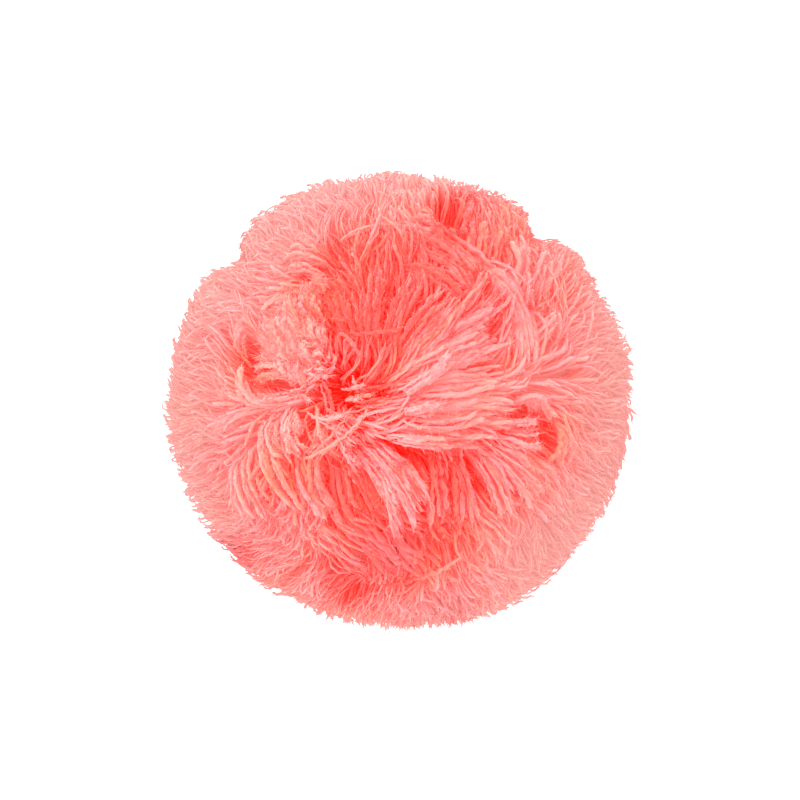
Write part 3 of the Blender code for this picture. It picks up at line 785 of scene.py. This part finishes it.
def wander(lines, alongs, reach, random):
    """Lets each yarn wander to its sides, more the nearer its end."""
    count = len(lines)
    run = unit(lines[:, -1] - lines[:, 0])
    first = unit(np.cross(run, random.normal(size=(count, 3))))
    second = np.cross(run, first)
    for across, turns in zip((first, second), WANDER_TURNS):
        phase = random.uniform(0, 2 * math.pi, (count, 1))
        rate = turns * random.uniform(*WANDER_RATES, (count, 1))
        swing = np.sin(2 * math.pi * rate * alongs + phase) - np.sin(phase)
        size = reach * random.uniform(*WANDER_SIZES, (count, 1)) * alongs**WANDER_CURVE
        lines = lines + across[:, None] * (swing * size / 2)[:, :, None]
    return lines


def gather(lines, alongs, roots, locks, random):
    """Draws yarns towards the nearest of some leading yarns, so that they lie in locks."""
    leaders = random.choice(len(roots), max(1, len(roots) // LOCK_YARNS), replace=False)
    nearest = leaders[np.argmax(roots @ roots[leaders].T, axis=1)]
    strength = random.uniform(*LOCK_STRENGTHS, len(roots))[nearest] * locks
    pull = np.clip(strength, 0, LOCK_TIGHTEST)[:, None] * alongs**LOCK_CURVE
    return lines + (lines[nearest] - lines) * pull[:, :, None]


def tube_rings(lines, radii):
    """Rings of corners round each line, as yarns by rings by sides by 3, and the lengths along the lines."""
    ahead = unit(np.gradient(lines, axis=1))
    bend = np.cross(ahead[:, 1], ahead[:, -2])
    straight = np.linalg.norm(bend, axis=1) < 1e-3
    bend[straight] = np.cross(ahead[straight, 0], (0.3, 0.5, 0.8))
    first = unit(bend)[:, None]
    first = unit(first - ahead * np.sum(first * ahead, axis=2, keepdims=True))
    second = np.cross(ahead, first)
    angle = (np.arange(YARN_SIDES) / YARN_SIDES * 2 * math.pi)[:, None]
    across = first[:, :, None] * np.cos(angle) + second[:, :, None] * np.sin(angle)
    corners = lines[:, :, None] + across * radii[:, :, None, None]
    corners[..., 2] = np.maximum(corners[..., 2], FLOOR_GAP)
    steps = np.linalg.norm(np.diff(lines, axis=1), axis=2)
    lengths = np.concatenate((np.zeros((len(lines), 1)), np.cumsum(steps, axis=1)), axis=1)
    return corners, lengths


def note_lie(mesh, lie):
    """Keeps on each corner what its colour depends on."""
    layer = mesh.attributes.new("lie", "FLOAT_VECTOR", "POINT")
    layer.data.foreach_set("vector", lie[:, :3].astype(np.float32).ravel())
    # soft is the share of the painted glow, shade that of the painted shadows
    for column, name in ((3, "soft"), (4, "shade")):
        layer = mesh.attributes.new(name, "FLOAT", "POINT")
        layer.data.foreach_set("value", lie[:, column].astype(np.float32))


def tube_mesh(name, lines, radii, lie, turns_per_metre, start):
    """One mesh of closed tubes round the lines, with the ply's turns in its UV map and lie in attributes."""
    count, rings = lines.shape[:2]
    corners, lengths = tube_rings(lines, radii)
    side = np.arange(YARN_SIDES)
    ring = np.arange(rings - 1)[:, None] * YARN_SIDES
    below = ring + side
    beside = ring + (side + 1) % YARN_SIDES
    quads = np.stack((below, beside, beside + YARN_SIDES, below + YARN_SIDES), axis=-1).reshape(-1, 4)
    caps = np.stack((side[::-1], side + (rings - 1) * YARN_SIDES))
    yarn = np.arange(count)[:, None, None] * rings * YARN_SIDES
    quads = (quads + yarn).reshape(-1, 4)
    caps = (caps + yarn).reshape(-1, YARN_SIDES)
    mesh = bpy.data.meshes.new(name)
    mesh.from_pydata(corners.reshape(-1, 3), [], quads.tolist() + caps.tolist())
    every_corner = (count, rings - 1, YARN_SIDES, 4)
    u = np.broadcast_to(np.stack((side, side + 1, side + 1, side), axis=-1) / YARN_SIDES, every_corner)
    turns = lengths * turns_per_metre + start[:, None]
    v = np.stack((turns[:, :-1], turns[:, :-1], turns[:, 1:], turns[:, 1:]), axis=-1)[:, :, None]
    v = np.broadcast_to(v, every_corner)
    quad_uv = np.stack((u, v), axis=-1).reshape(-1, 2)
    cap_v = np.repeat(turns[:, [0, -1]].reshape(-1), YARN_SIDES)
    cap_uv = np.stack((np.full(len(cap_v), 0.5), cap_v), axis=-1)
    uv = mesh.uv_layers.new(name="ply")
    uv.data.foreach_set("uv", np.concatenate((quad_uv, cap_uv)).astype(np.float32).ravel())
    note_lie(mesh, np.repeat(lie.reshape(count * rings, -1), YARN_SIDES, axis=0))
    mesh.shade_smooth()
    return mesh


def show(mesh, material):
    """Puts a finished mesh in the scene as a piece that stands for the solid."""
    mesh.materials.append(material)
    piece = bpy.data.objects.new(mesh.name, mesh)
    bpy.context.scene.collection.objects.link(piece)
    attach(piece, BODY)
    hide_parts(NODE)


class Value:
    """A socket of a material, whose operators add Math nodes."""

    def __init__(self, shader, socket):
        self.shader = shader
        self.socket = socket

    def math(self, operation, *others):
        return self.shader.node("ShaderNodeMath", {"operation": operation}, dict(enumerate((self, *others))))

    def __add__(self, other):
        return self.math("ADD", other)

    def __sub__(self, other):
        return self.math("SUBTRACT", other)

    def __mul__(self, other):
        return self.math("MULTIPLY", other)

    def __pow__(self, other):
        return self.math("POWER", other)

    def __rsub__(self, other):
        return (self * -1.0) + other

    __radd__ = __add__
    __rmul__ = __mul__

    def sine(self):
        return self.math("SINE")

    def clamped(self):
        return self.shader.node("ShaderNodeClamp", {}, {"Value": self})


class Shader:
    """A material's node tree, and the one method that adds its nodes."""

    def __init__(self, name):
        self.material = bpy.data.materials.new(name)
        self.material.use_nodes = True
        self.tree = self.material.node_tree
        self.principled = self.tree.nodes["Principled BSDF"]
        self.material.cycles.emission_sampling = "NONE"

    def node(self, kind, settings, inputs, output=0):
        """Adds a node, sets it up, fills its sockets with values or links, and gives one of its outputs."""
        made = self.tree.nodes.new(kind)
        for key, value in settings.items():
            setattr(made, key, value)
        for key, value in inputs.items():
            self.fill(made.inputs[key], value)
        return Value(self, made.outputs[output])

    def fill(self, socket, value):
        if isinstance(value, Value):
            self.tree.links.new(value.socket, socket)
        else:
            socket.default_value = value

    def mix(self, factor, first, second):
        """A colour between two colours."""
        settings = {"data_type": "RGBA"}
        return self.node("ShaderNodeMix", settings, {"Factor": factor, 6: first, 7: second}, 2)

    def attribute(self, name, output):
        return self.node("ShaderNodeAttribute", {"attribute_name": name}, {}, output)

    def split(self, vector, axes):
        return [self.node("ShaderNodeSeparateXYZ", {}, {"Vector": vector}, axis) for axis in axes]

    def finish(self, **values):
        for key, value in values.items():
            self.fill(self.principled.inputs[key.replace("_", " ")], value)
        return self.material


def rgba(colour):
    return (*colour, 1.0)


def yarn_material(colours):
    """Plied yarn: paler at its cut ends, partly as a painted highlight, and redder the deeper it lies, as
    painted shade, with the plies' twist along it.
    """
    shader = Shader("plied_yarn")
    # depth carries the painted shade, soft the share of the rim's painted glow, and shade the painted shadows
    depth, tint, end = shader.split(shader.attribute("lie", "Vector"), "XYZ")
    rim = shader.attribute("soft", "Fac")
    shade = shader.attribute("shade", "Fac")
    place = shader.node("ShaderNodeTexCoord", {}, {}, "Object")
    round_yarn, along_yarn = shader.split(shader.node("ShaderNodeUVMap", {"uv_map": "ply"}, {}), "XY")
    ply = ((round_yarn * 2.0 + along_yarn) * (2 * math.pi)).sine() * 0.5 + 0.5
    fibre = shader.node("ShaderNodeTexNoise", {}, {"Vector": place, "Scale": 900.0, "Detail": 2.0})
    # Open yarn over red depths, which are painted shade: the deeper a ring lies, the more of the red it gets
    depth = depth * (1.0 - rim * 0.6)
    open_colour = shader.mix(tint, rgba(colours.coral), rgba(colours.pink))
    painted_shade_colour = shader.mix(tint, rgba(colours.depths), rgba(colours.rose))
    end_colour = shader.mix(tint, rgba(colours.warm_ends), rgba(colours.ends))
    colour = shader.mix(depth.clamped(), open_colour, painted_shade_colour)
    # Paler cut ends, partly painted highlight, which the painted shade takes away
    colour = shader.mix((end * 0.8 - depth).clamped(), colour, end_colour)
    # Painted shade in the grooves between the plies, and a pale bloom of fibres on them
    groove_shade = (1.0 - ply) ** 2.0 * (1.0 - rim * 0.7)
    colour = shader.mix((groove_shade * 0.7).clamped(), colour, shader.mix(0.6, colour, painted_shade_colour))
    bloom = ((fibre - 0.5) * 0.9 + 0.12).clamped() * (1.0 - depth.clamped() * 0.55)
    colour = shader.mix(bloom, colour, end_colour)
    # Painted glow, for light that soaks through the pile, which takes the place of most of the rim's own
    # colour
    black = (0.0, 0.0, 0.0, 1.0)
    colour = shader.mix(rim * 0.75, colour, black)
    # Painted shadows, which also dim the painted glow
    colour = shader.mix(shade, colour, rgba(colours.dusk))
    soaked = shader.mix(rim, rgba(colours.glow), rgba(colours.rim_glow))
    soaked = shader.mix(shade, soaked, black)
    height = ply + fibre * 0.6
    normal = shader.node("ShaderNodeBump", {}, {"Strength": 0.5, "Distance": 0.25 * MM, "Height": height})
    return shader.finish(
        Base_Color=colour,
        Roughness=0.92,
        Normal=normal,
        Emission_Color=soaked,
        Emission_Strength=1.0,
        Sheen_Weight=0.35,
        Sheen_Roughness=0.5,
        Sheen_Tint=(1.0, 0.75, 0.72, 1.0),
        Specular_IOR_Level=0.2,
    )


def heart_material(colours):
    """The bound middle of the yarn, seen only as a glow of red between the yarns: painted shade, the deep red
    of the depths made darker still, with a painted glow.
    """
    shader = Shader("yarn_heart")
    place = shader.node("ShaderNodeTexCoord", {}, {}, "Object")
    strands = shader.node("ShaderNodeTexNoise", {}, {"Vector": place, "Scale": 420.0, "Detail": 3.0})
    # Painted shade: the depths' red, darker still
    deeper = tuple(0.72 * channel for channel in colours.depths)
    colour = shader.mix((strands * 1.6 - 0.4).clamped(), rgba(deeper), rgba(colours.depths))
    normal = shader.node("ShaderNodeBump", {}, {"Strength": 0.8, "Distance": 1.0 * MM, "Height": strands})
    return shader.finish(
        Base_Color=colour,
        Roughness=0.95,
        Normal=normal,
        Emission_Color=rgba(colours.glow),
        Emission_Strength=1.0,
        Specular_IOR_Level=0.1,
    )


def floor_material():
    shader = Shader("studio_floor")
    place = shader.node("ShaderNodeTexCoord", {}, {}, "Object")
    grain = shader.node("ShaderNodeTexNoise", {}, {"Vector": place, "Scale": 40.0, "Detail": 2.0})
    colour = shader.mix(grain, (0.90, 0.90, 0.90, 1.0), (0.93, 0.93, 0.93, 1.0))
    return shader.finish(Base_Color=colour, Roughness=0.8)


def make_heart(colours):
    """The bound middle, a lumpy ball that closes the view between the yarns."""
    mesh = bmesh.new()
    bmesh.ops.create_icosphere(mesh, subdivisions=5, radius=HEART_RADIUS + HEART_COVER)
    for vertex in mesh.verts:
        lump = noise.fractal(vertex.co * LUMPS, 0.6, 2.0, 3)
        vertex.co *= 1 + LUMP_SIZE * lump
        vertex.co += Vector(HEART)
    data = bpy.data.meshes.new("heart")
    mesh.to_mesh(data)
    mesh.free()
    data.shade_smooth()
    show(data, heart_material(colours))


def yarn_lie(lines, alongs, tint, shade_and_light_blush, random):
    """What colours the yarn at each ring: its depth, which carries the painted shade and the painted rim
    light, tint, nearness to the cut end, the share of painted glow, and the painted shadows.
    """
    ways = unit(lines - HEART)
    radius = np.linalg.norm(lines - HEART, axis=2)
    surface = np.minimum(PILE_RADIUS, HEART[2] / np.maximum(-ways[..., 2], 1e-6))
    # Painted shade: the deeper a ring lies below the surface, the redder it is coloured
    depth = np.clip((surface - radius - SKIN) / DEEPEST, 0, 1) ** DEPTH_CURVE + shade_and_light_blush
    # More painted shade, redder, at the places of the table, and, with a minus, painted light, paler
    redder = sum_seen(lines, SHADE_AND_LIGHT_BLUSHES)
    # Painted light: paler where the pile is seen edge on
    depth += redder - PAINTED_RIM_LIGHT * np.clip(1 - np.abs(ways[..., 2]) / RIM_LIGHT_HEIGHT, 0, 1)
    ends = np.clip((alongs - CUT_FROM) / (1 - CUT_FROM), 0, 1)
    ends = ends[None] * random.uniform(*END_BLOOM, (len(lines), 1)) * np.clip(1 - BLOOM_LOSS * redder, 0, 1)
    patches = np.sin(ways @ np.array(TINT_PATCHES[0]) + 1.0) * np.sin(ways @ np.array(TINT_PATCHES[1]))
    tint = np.clip(TINT_MIDDLE + 0.5 * patches + tint[:, None] - sum_seen(lines, WARMTHS), 0, 1)
    return np.stack((depth, tint, ends, painted_glow_share(lines, depth), sum_seen(lines, PAINTED_SHADOWS)), axis=-1)


def painted_glow_share(lines, depth):
    """How much of the pile's lit colour gives way to a soft, pale painted glow, which is round the rim and
    not in its depths.
    """
    height = unit(lines - HEART)[..., 2]
    soft = np.clip((RIM_TOP - height) / (RIM_TOP - RIM_FULL), 0, 1)
    soft *= np.clip((height + RIM_GONE) / RIM_GONE, 0, 1)
    for right, up, reach, amount in GLOW_PLACES:
        soft += amount * seen_near(lines, right, up, reach) * np.where(amount < 0, soft, 1 - soft)
    return soft * (1 - RIM_DEPTHS * np.clip(depth, 0, 1))


def thinned(lines, random):
    """Leaves out most yarns that would end in a deep hollow."""
    ways = unit(lines[:, -1] - HEART)
    sunk = np.clip((PILE_RADIUS - trimmed_radius(ways) - THINNED_BELOW) / THINNED_BELOW, 0, 1)
    return lines[(ways[:, 2] < 0) | (random.uniform(0, 1, len(lines)) > THINNING * sunk)]


def clear_of_holes(lines, random):
    """Leaves out most yarns that would cross a hole, as seen from straight above."""
    high = np.linalg.norm(lines - HEART, axis=2) > PILE_RADIUS - HOLE_DEPTH
    high &= lines[..., 2] > HEART[2]
    crossing = np.zeros(len(lines), dtype=bool)
    for right, up, reach in HOLES:
        over = np.hypot(lines[..., 0] - right * MM, lines[..., 1] - up * MM) < reach * MM
        crossing |= np.any(over & high, axis=1)
    return lines[~crossing | (random.uniform(0, 1, len(lines)) < HOLE_BLOCKED)]


def lay_yarns(roots, rings, sizes, random):
    """The middle lines of the yarns from these roots, with the shares along them."""
    count = len(roots)
    alongs = np.linspace(0, 1, rings) ** RING_SPACING
    lean = random.normal(1.0, LEAN_SPREAD, count)
    leaders = random.choice(count, max(1, count // VEERING), replace=False)
    lock = np.argmax(roots @ roots[leaders].T, axis=1)
    calm = np.clip((roots[:, 2] - CALM_BELOW) / CALM_FADE, RIM_CALM, 1)
    veer = random.normal(0.0, LOCK_VEER, len(leaders))[lock] + random.normal(0.0, YARN_VEER, count)
    layered = np.linalg.norm(combing(roots), axis=1) * sizes.layering * random.uniform(0, 1, count)
    tufts = np.sin(roots @ np.array(TUFT_WAVES[0])) * np.sin(roots @ np.array(TUFT_WAVES[1]) + 1.0)
    trim = np.clip(random.normal(0, sizes.unevenness, count), *TRIM_LIMITS) - layered + TUFTING * tufts
    lines = yarn_lines(roots, alongs, lean, veer * calm, trim)
    lines = gather(lines, alongs, roots, sizes.clumping * calm, random)
    lines = wander(lines, alongs, (sizes.curl * calm)[:, None], random)
    lines = thinned(under_surface(lines, PILE_OVER, HOLLOWS + DENTS), random)
    return clear_of_holes(lines, random), alongs


def under_surface(lines, over, dents):
    """Presses yarns back under the trimmed surface, so that its hollows stay open."""
    ways = unit(lines - HEART)
    radius = np.linalg.norm(lines - HEART, axis=2)
    surface = trimmed_radius(ways.reshape(-1, 3), dents).reshape(radius.shape) + over
    return HEART + ways * np.minimum(radius, surface)[..., None]


def sheaf_lines(sheaf, sizes, random):
    """The middle lines of the yarns of one sheaf, with the shares along them."""
    *places, root_width, tip_width, root_depth, middle_depth, tip_depth, count, _ = sheaf
    places = np.array(places, dtype=float).reshape(3, 2)
    depths = np.array((root_depth, middle_depth, tip_depth), dtype=float)
    alongs = np.linspace(0, 1, SHEAF_RINGS)
    reach = random.triangular(*SHEAF_REACHES, (count, 1))
    first = random.uniform(*SHEAF_STARTS, (count, 1))
    share = first + (reach - first) * alongs[None]
    rest = 1 - share
    weights = np.stack((rest * (1 - 2 * share), 4 * share * rest, share * (2 * share - 1)), axis=-1)
    middle = weights @ places
    ahead = unit(np.gradient(middle, axis=1))
    aside = np.stack((-ahead[..., 1], ahead[..., 0]), axis=-1)
    width = root_width + (tip_width - root_width) * share
    straying = min(SHEAF_STRAYING_MOST, SHEAF_STRAYING * tip_width)
    strayed = random.normal(0, straying, (count, 1)) * share**2
    across = random.uniform(-0.5, 0.5, (count, 1)) * width + strayed
    middle = middle + aside * across[..., None]
    flat = middle * MM / PILE_RADIUS
    height = np.sqrt(np.maximum(1 - np.sum(flat**2, axis=-1), 0.01))
    ways = unit(np.concatenate((flat, height[..., None]), axis=-1))
    sunk = weights @ depths + random.uniform(*SHEAF_LAYERS, (count, 1)) * np.minimum(share * 3, 1)
    lines = HEART + ways * (PILE_RADIUS - sunk * MM)[..., None]
    if count <= STRAYS:
        return wander(lines, alongs, sizes.curl * STRAY_CURL, random), alongs
    lines = gather(lines, alongs, ways[:, 0], sizes.clumping * SHEAF_CLUMPING, random)
    lines = under_surface(wander(lines, alongs, sizes.curl, random), SHEAF_OVER, HOLLOWS)
    return clear_of_holes(lines, random), alongs


def frayed_ends(lines, lie, thick, random):
    """A thin ply that spreads out of each cut end, as starts, tips, radii and what colours them."""
    count = len(lines)
    ahead = unit(lines[:, -1] - lines[:, -3])
    starts = lines[:, -1] - ahead * thick[:, None] * 2
    spread = random.normal(0, FRAY_SPREAD, (count, 3))
    tips = lines[:, -1] + unit(ahead + spread) * random.uniform(*FRAY_LENGTHS, (count, 1)) * MM
    return starts, tips, thick * FRAY_WIDTH, lie[:, -1]


def fuzz(lines, lie, share, random):
    """Fine fibres that stand off the outer half of the yarns."""
    count, rings = lines.shape[:2]
    wanted = int(count * share)
    yarn = random.integers(0, count, wanted)
    ring = random.integers(rings // 2, rings, wanted)
    starts = lines[yarn, ring]
    ahead = unit(lines[yarn, ring] - lines[yarn, ring - 1])
    way = unit(ahead + unit(starts - HEART) * FUZZ_LIFT + random.normal(0, FUZZ_SPREAD, (wanted, 3)))
    tips = starts + way * random.uniform(*FUZZ_LENGTHS, (wanted, 1)) * MM
    colours = lie[yarn, ring].copy()
    # The fibres' paleness, partly painted highlight, fades where painted shade lies deep
    colours[:, 2] = random.uniform(*FUZZ_BLOOM, wanted) * np.clip(1 - colours[:, 0], 0, 1)
    return starts, tips, random.uniform(*FUZZ_RADII, wanted) * MM, colours


def fibre_mesh(name, starts, tips, radii, lie):
    """One mesh of thin closed spikes of three sides."""
    count = len(starts)
    ahead = unit(tips - starts)
    first = unit(np.cross(ahead, np.roll(ahead, 1, axis=1) + (0.01, 0.02, 0.03)))
    second = np.cross(ahead, first)
    corners = np.empty((count, 4, 3))
    for corner in range(3):
        angle = corner * 2 * math.pi / 3
        corners[:, corner] = starts + (first * math.cos(angle) + second * math.sin(angle)) * radii[:, None]
    corners[:, 3] = tips
    corners[..., 2] = np.maximum(corners[..., 2], FLOOR_GAP)
    one = np.array(((0, 2, 1), (0, 1, 3), (1, 2, 3), (2, 0, 3)))
    faces = (one[None] + np.arange(count)[:, None, None] * 4).reshape(-1, 3)
    mesh = bpy.data.meshes.new(name)
    mesh.from_pydata(corners.reshape(-1, 3), [], faces.tolist())
    mesh.uv_layers.new(name="ply")
    note_lie(mesh, np.repeat(lie, 4, axis=0))
    mesh.shade_smooth()
    return mesh


def spun(title, lines, alongs, shade_and_light_blush, bold, fibres, sizes, material, random):
    """Shows the yarns along these lines as one mesh, and gives what their fibres need."""
    count = len(lines)
    profile = np.interp(alongs, *PROFILE)
    thick = sizes.thickness / 2 * bold * random.uniform(*THICKNESSES, count)
    radii = thick[:, None] * profile[None] * random.uniform(*SWELLINGS, lines.shape[:2])
    lines = lines + random.normal(0, sizes.crinkle, lines.shape)
    shade_and_light_blush = shade_and_light_blush + random.normal(0, SHADE_BLUSH_SPREAD, (count, 1))
    lines[:, :, 2] = np.maximum(lines[:, :, 2], radii + 2 * FLOOR_GAP)
    lie = yarn_lie(lines, alongs, random.normal(0, TINT_SPREAD, count), shade_and_light_blush, random)
    start = random.uniform(0, 1, count)
    show(tube_mesh(title, lines, radii, lie, 1 / (2 * sizes.ply_length), start), material)
    return [frayed_ends(lines, lie, thick, random), fuzz(lines, lie, fibres * sizes.fuzz, random)]


def make_band(name, lowest, highest, sectors, yarns, rings, fibres, bold, sizes, material):
    """The yarns of one band of the pile, a mesh for each sector, and what their fibres need."""
    grown = []
    for sector in range(sectors):
        random = np.random.default_rng(sizes.seed + sum(map(ord, name)) + sector)
        roots = spiral_ways(yarns, lowest, highest, sector, sectors, random)
        lines, alongs = lay_yarns(roots, rings, sizes, random)
        grown += spun(f"pile_{name}_{sector + 1}", lines, alongs, 0.0, bold, fibres, sizes, material, random)
    return grown


def make_sheaves(sizes, material):
    """The sheaves of longer yarns that lie over the face, as one mesh, and what their fibres need."""
    random = np.random.default_rng(sizes.seed)
    laid = []
    shade_and_light_blush = []
    bold = []
    for sheaf in SHEAVES:
        count, redder = sheaf[-2:]
        lines, alongs = sheaf_lines(sheaf, sizes, random)
        laid.append(lines)
        shade_and_light_blush.append(np.full((len(lines), 1), redder))
        bold.append(np.full(len(lines), STRAY_THICKNESS if count <= STRAYS else SHEAF_THICKNESS))
    lines, shade_and_light_blush, bold = (np.concatenate(parts) for parts in (laid, shade_and_light_blush, bold))
    return spun("sheaves", lines, alongs, shade_and_light_blush, bold, SHEAF_FIBRES, sizes, material, random)


def make_stage(stage):
    """The pale floor, the soft lights and the camera straight above the face."""
    mesh = bmesh.new()
    bmesh.ops.create_grid(mesh, x_segments=1, y_segments=1, size=stage.floor_side / 2)
    data = bpy.data.meshes.new("studio_floor")
    mesh.to_mesh(data)
    mesh.free()
    data.materials.append(floor_material())
    floor = bpy.data.objects.new("studio_floor", data)
    bpy.context.scene.collection.objects.link(floor)
    world = bpy.data.worlds.new("studio")
    world.use_nodes = True
    background = world.node_tree.nodes["Background"]
    background.inputs["Color"].default_value = (1.0, 1.0, 1.0, 1.0)
    background.inputs["Strength"].default_value = stage.sky
    bpy.context.scene.world = world
    key = bpy.data.lights.new("key", "AREA")
    key.shape = "DISK"
    key.size = KEY_SIZE
    key.energy = stage.key_power
    lamp = bpy.data.objects.new("key", key)
    lamp.location = KEY_PLACE
    aim = Vector(HEART) - lamp.location
    lamp.rotation_euler = aim.to_track_quat("-Z", "Y").to_euler()
    bpy.context.scene.collection.objects.link(lamp)
    lens = bpy.data.cameras.new("camera")
    lens.sensor_width = SENSOR
    lens.lens = SENSOR * stage.camera_distance / (PIXEL * PHOTO_SIDE)
    lens.clip_end = 10.0
    camera = bpy.data.objects.new("camera", lens)
    camera.location = Vector(HEART) + Vector((0, 0, stage.camera_distance))
    bpy.context.scene.collection.objects.link(camera)
    bpy.context.scene.camera = camera
    bpy.context.scene.view_settings.view_transform = "Standard"
    bpy.context.scene.cycles.max_bounces = BOUNCES
    bpy.context.scene.cycles.diffuse_bounces = BOUNCES


class POMPOM_OT_heart(bpy.types.Operator):
    """Make the bound heart of the pom pom"""

    bl_idname = "pompom.heart"
    bl_label = "Heart"

    def execute(self, context):
        make_heart(context.scene.pompom_colours)
        return {"FINISHED"}


class POMPOM_OT_pile(bpy.types.Operator):
    """Make the cut yarns, with the fine fibres on them"""

    bl_idname = "pompom.pile"
    bl_label = "Pile"

    def execute(self, context):
        sizes = context.scene.pompom_sizes
        material = yarn_material(context.scene.pompom_colours)
        fibres = []
        for band in BANDS:
            fibres += make_band(*band, sizes, material)
        fibres += make_sheaves(sizes, material)
        half = len(fibres) // 2
        for number, part in enumerate((fibres[:half], fibres[half:]), 1):
            joined = [np.concatenate(each) for each in zip(*part)]
            show(fibre_mesh(f"fibres_{number}", *joined), material)
        return {"FINISHED"}


class POMPOM_OT_stage(bpy.types.Operator):
    """Make the floor, the lights and the camera"""

    bl_idname = "pompom.stage"
    bl_label = "Stage"

    def execute(self, context):
        make_stage(context.scene.pompom_stage)
        return {"FINISHED"}


class POMPOM_PT_panel(bpy.types.Panel):
    """The pom pom's sizes, colours and pieces"""

    bl_idname = "POMPOM_PT_panel"
    bl_label = "Pom Pom"
    bl_space_type = "VIEW_3D"
    bl_region_type = "UI"
    bl_category = "Pom Pom"

    def draw(self, context):
        column = self.layout.column()
        for operator in OPERATORS:
            column.operator(operator.bl_idname)
        for group, settings in SETTINGS.items():
            box = self.layout.box()
            for name in settings.__annotations__:
                box.prop(getattr(context.scene, group), name)


OPERATORS = (POMPOM_OT_heart, POMPOM_OT_pile, POMPOM_OT_stage)
SETTINGS = {"pompom_sizes": YarnSizes, "pompom_colours": YarnColours, "pompom_stage": StageSizes}


def register():
    for kind in (*SETTINGS.values(), *OPERATORS, POMPOM_PT_panel):
        bpy.utils.register_class(kind)
    for group, settings in SETTINGS.items():
        setattr(bpy.types.Scene, group, PointerProperty(type=settings))


def unregister():
    for group in SETTINGS:
        delattr(bpy.types.Scene, group)
    for kind in (POMPOM_PT_panel, *reversed(OPERATORS), *reversed(tuple(SETTINGS.values()))):
        bpy.utils.unregister_class(kind)


def main():
    register()
    bpy.ops.pompom.heart()
    bpy.ops.pompom.pile()
    bpy.ops.pompom.stage()


if __name__ == "__main__":
    main()
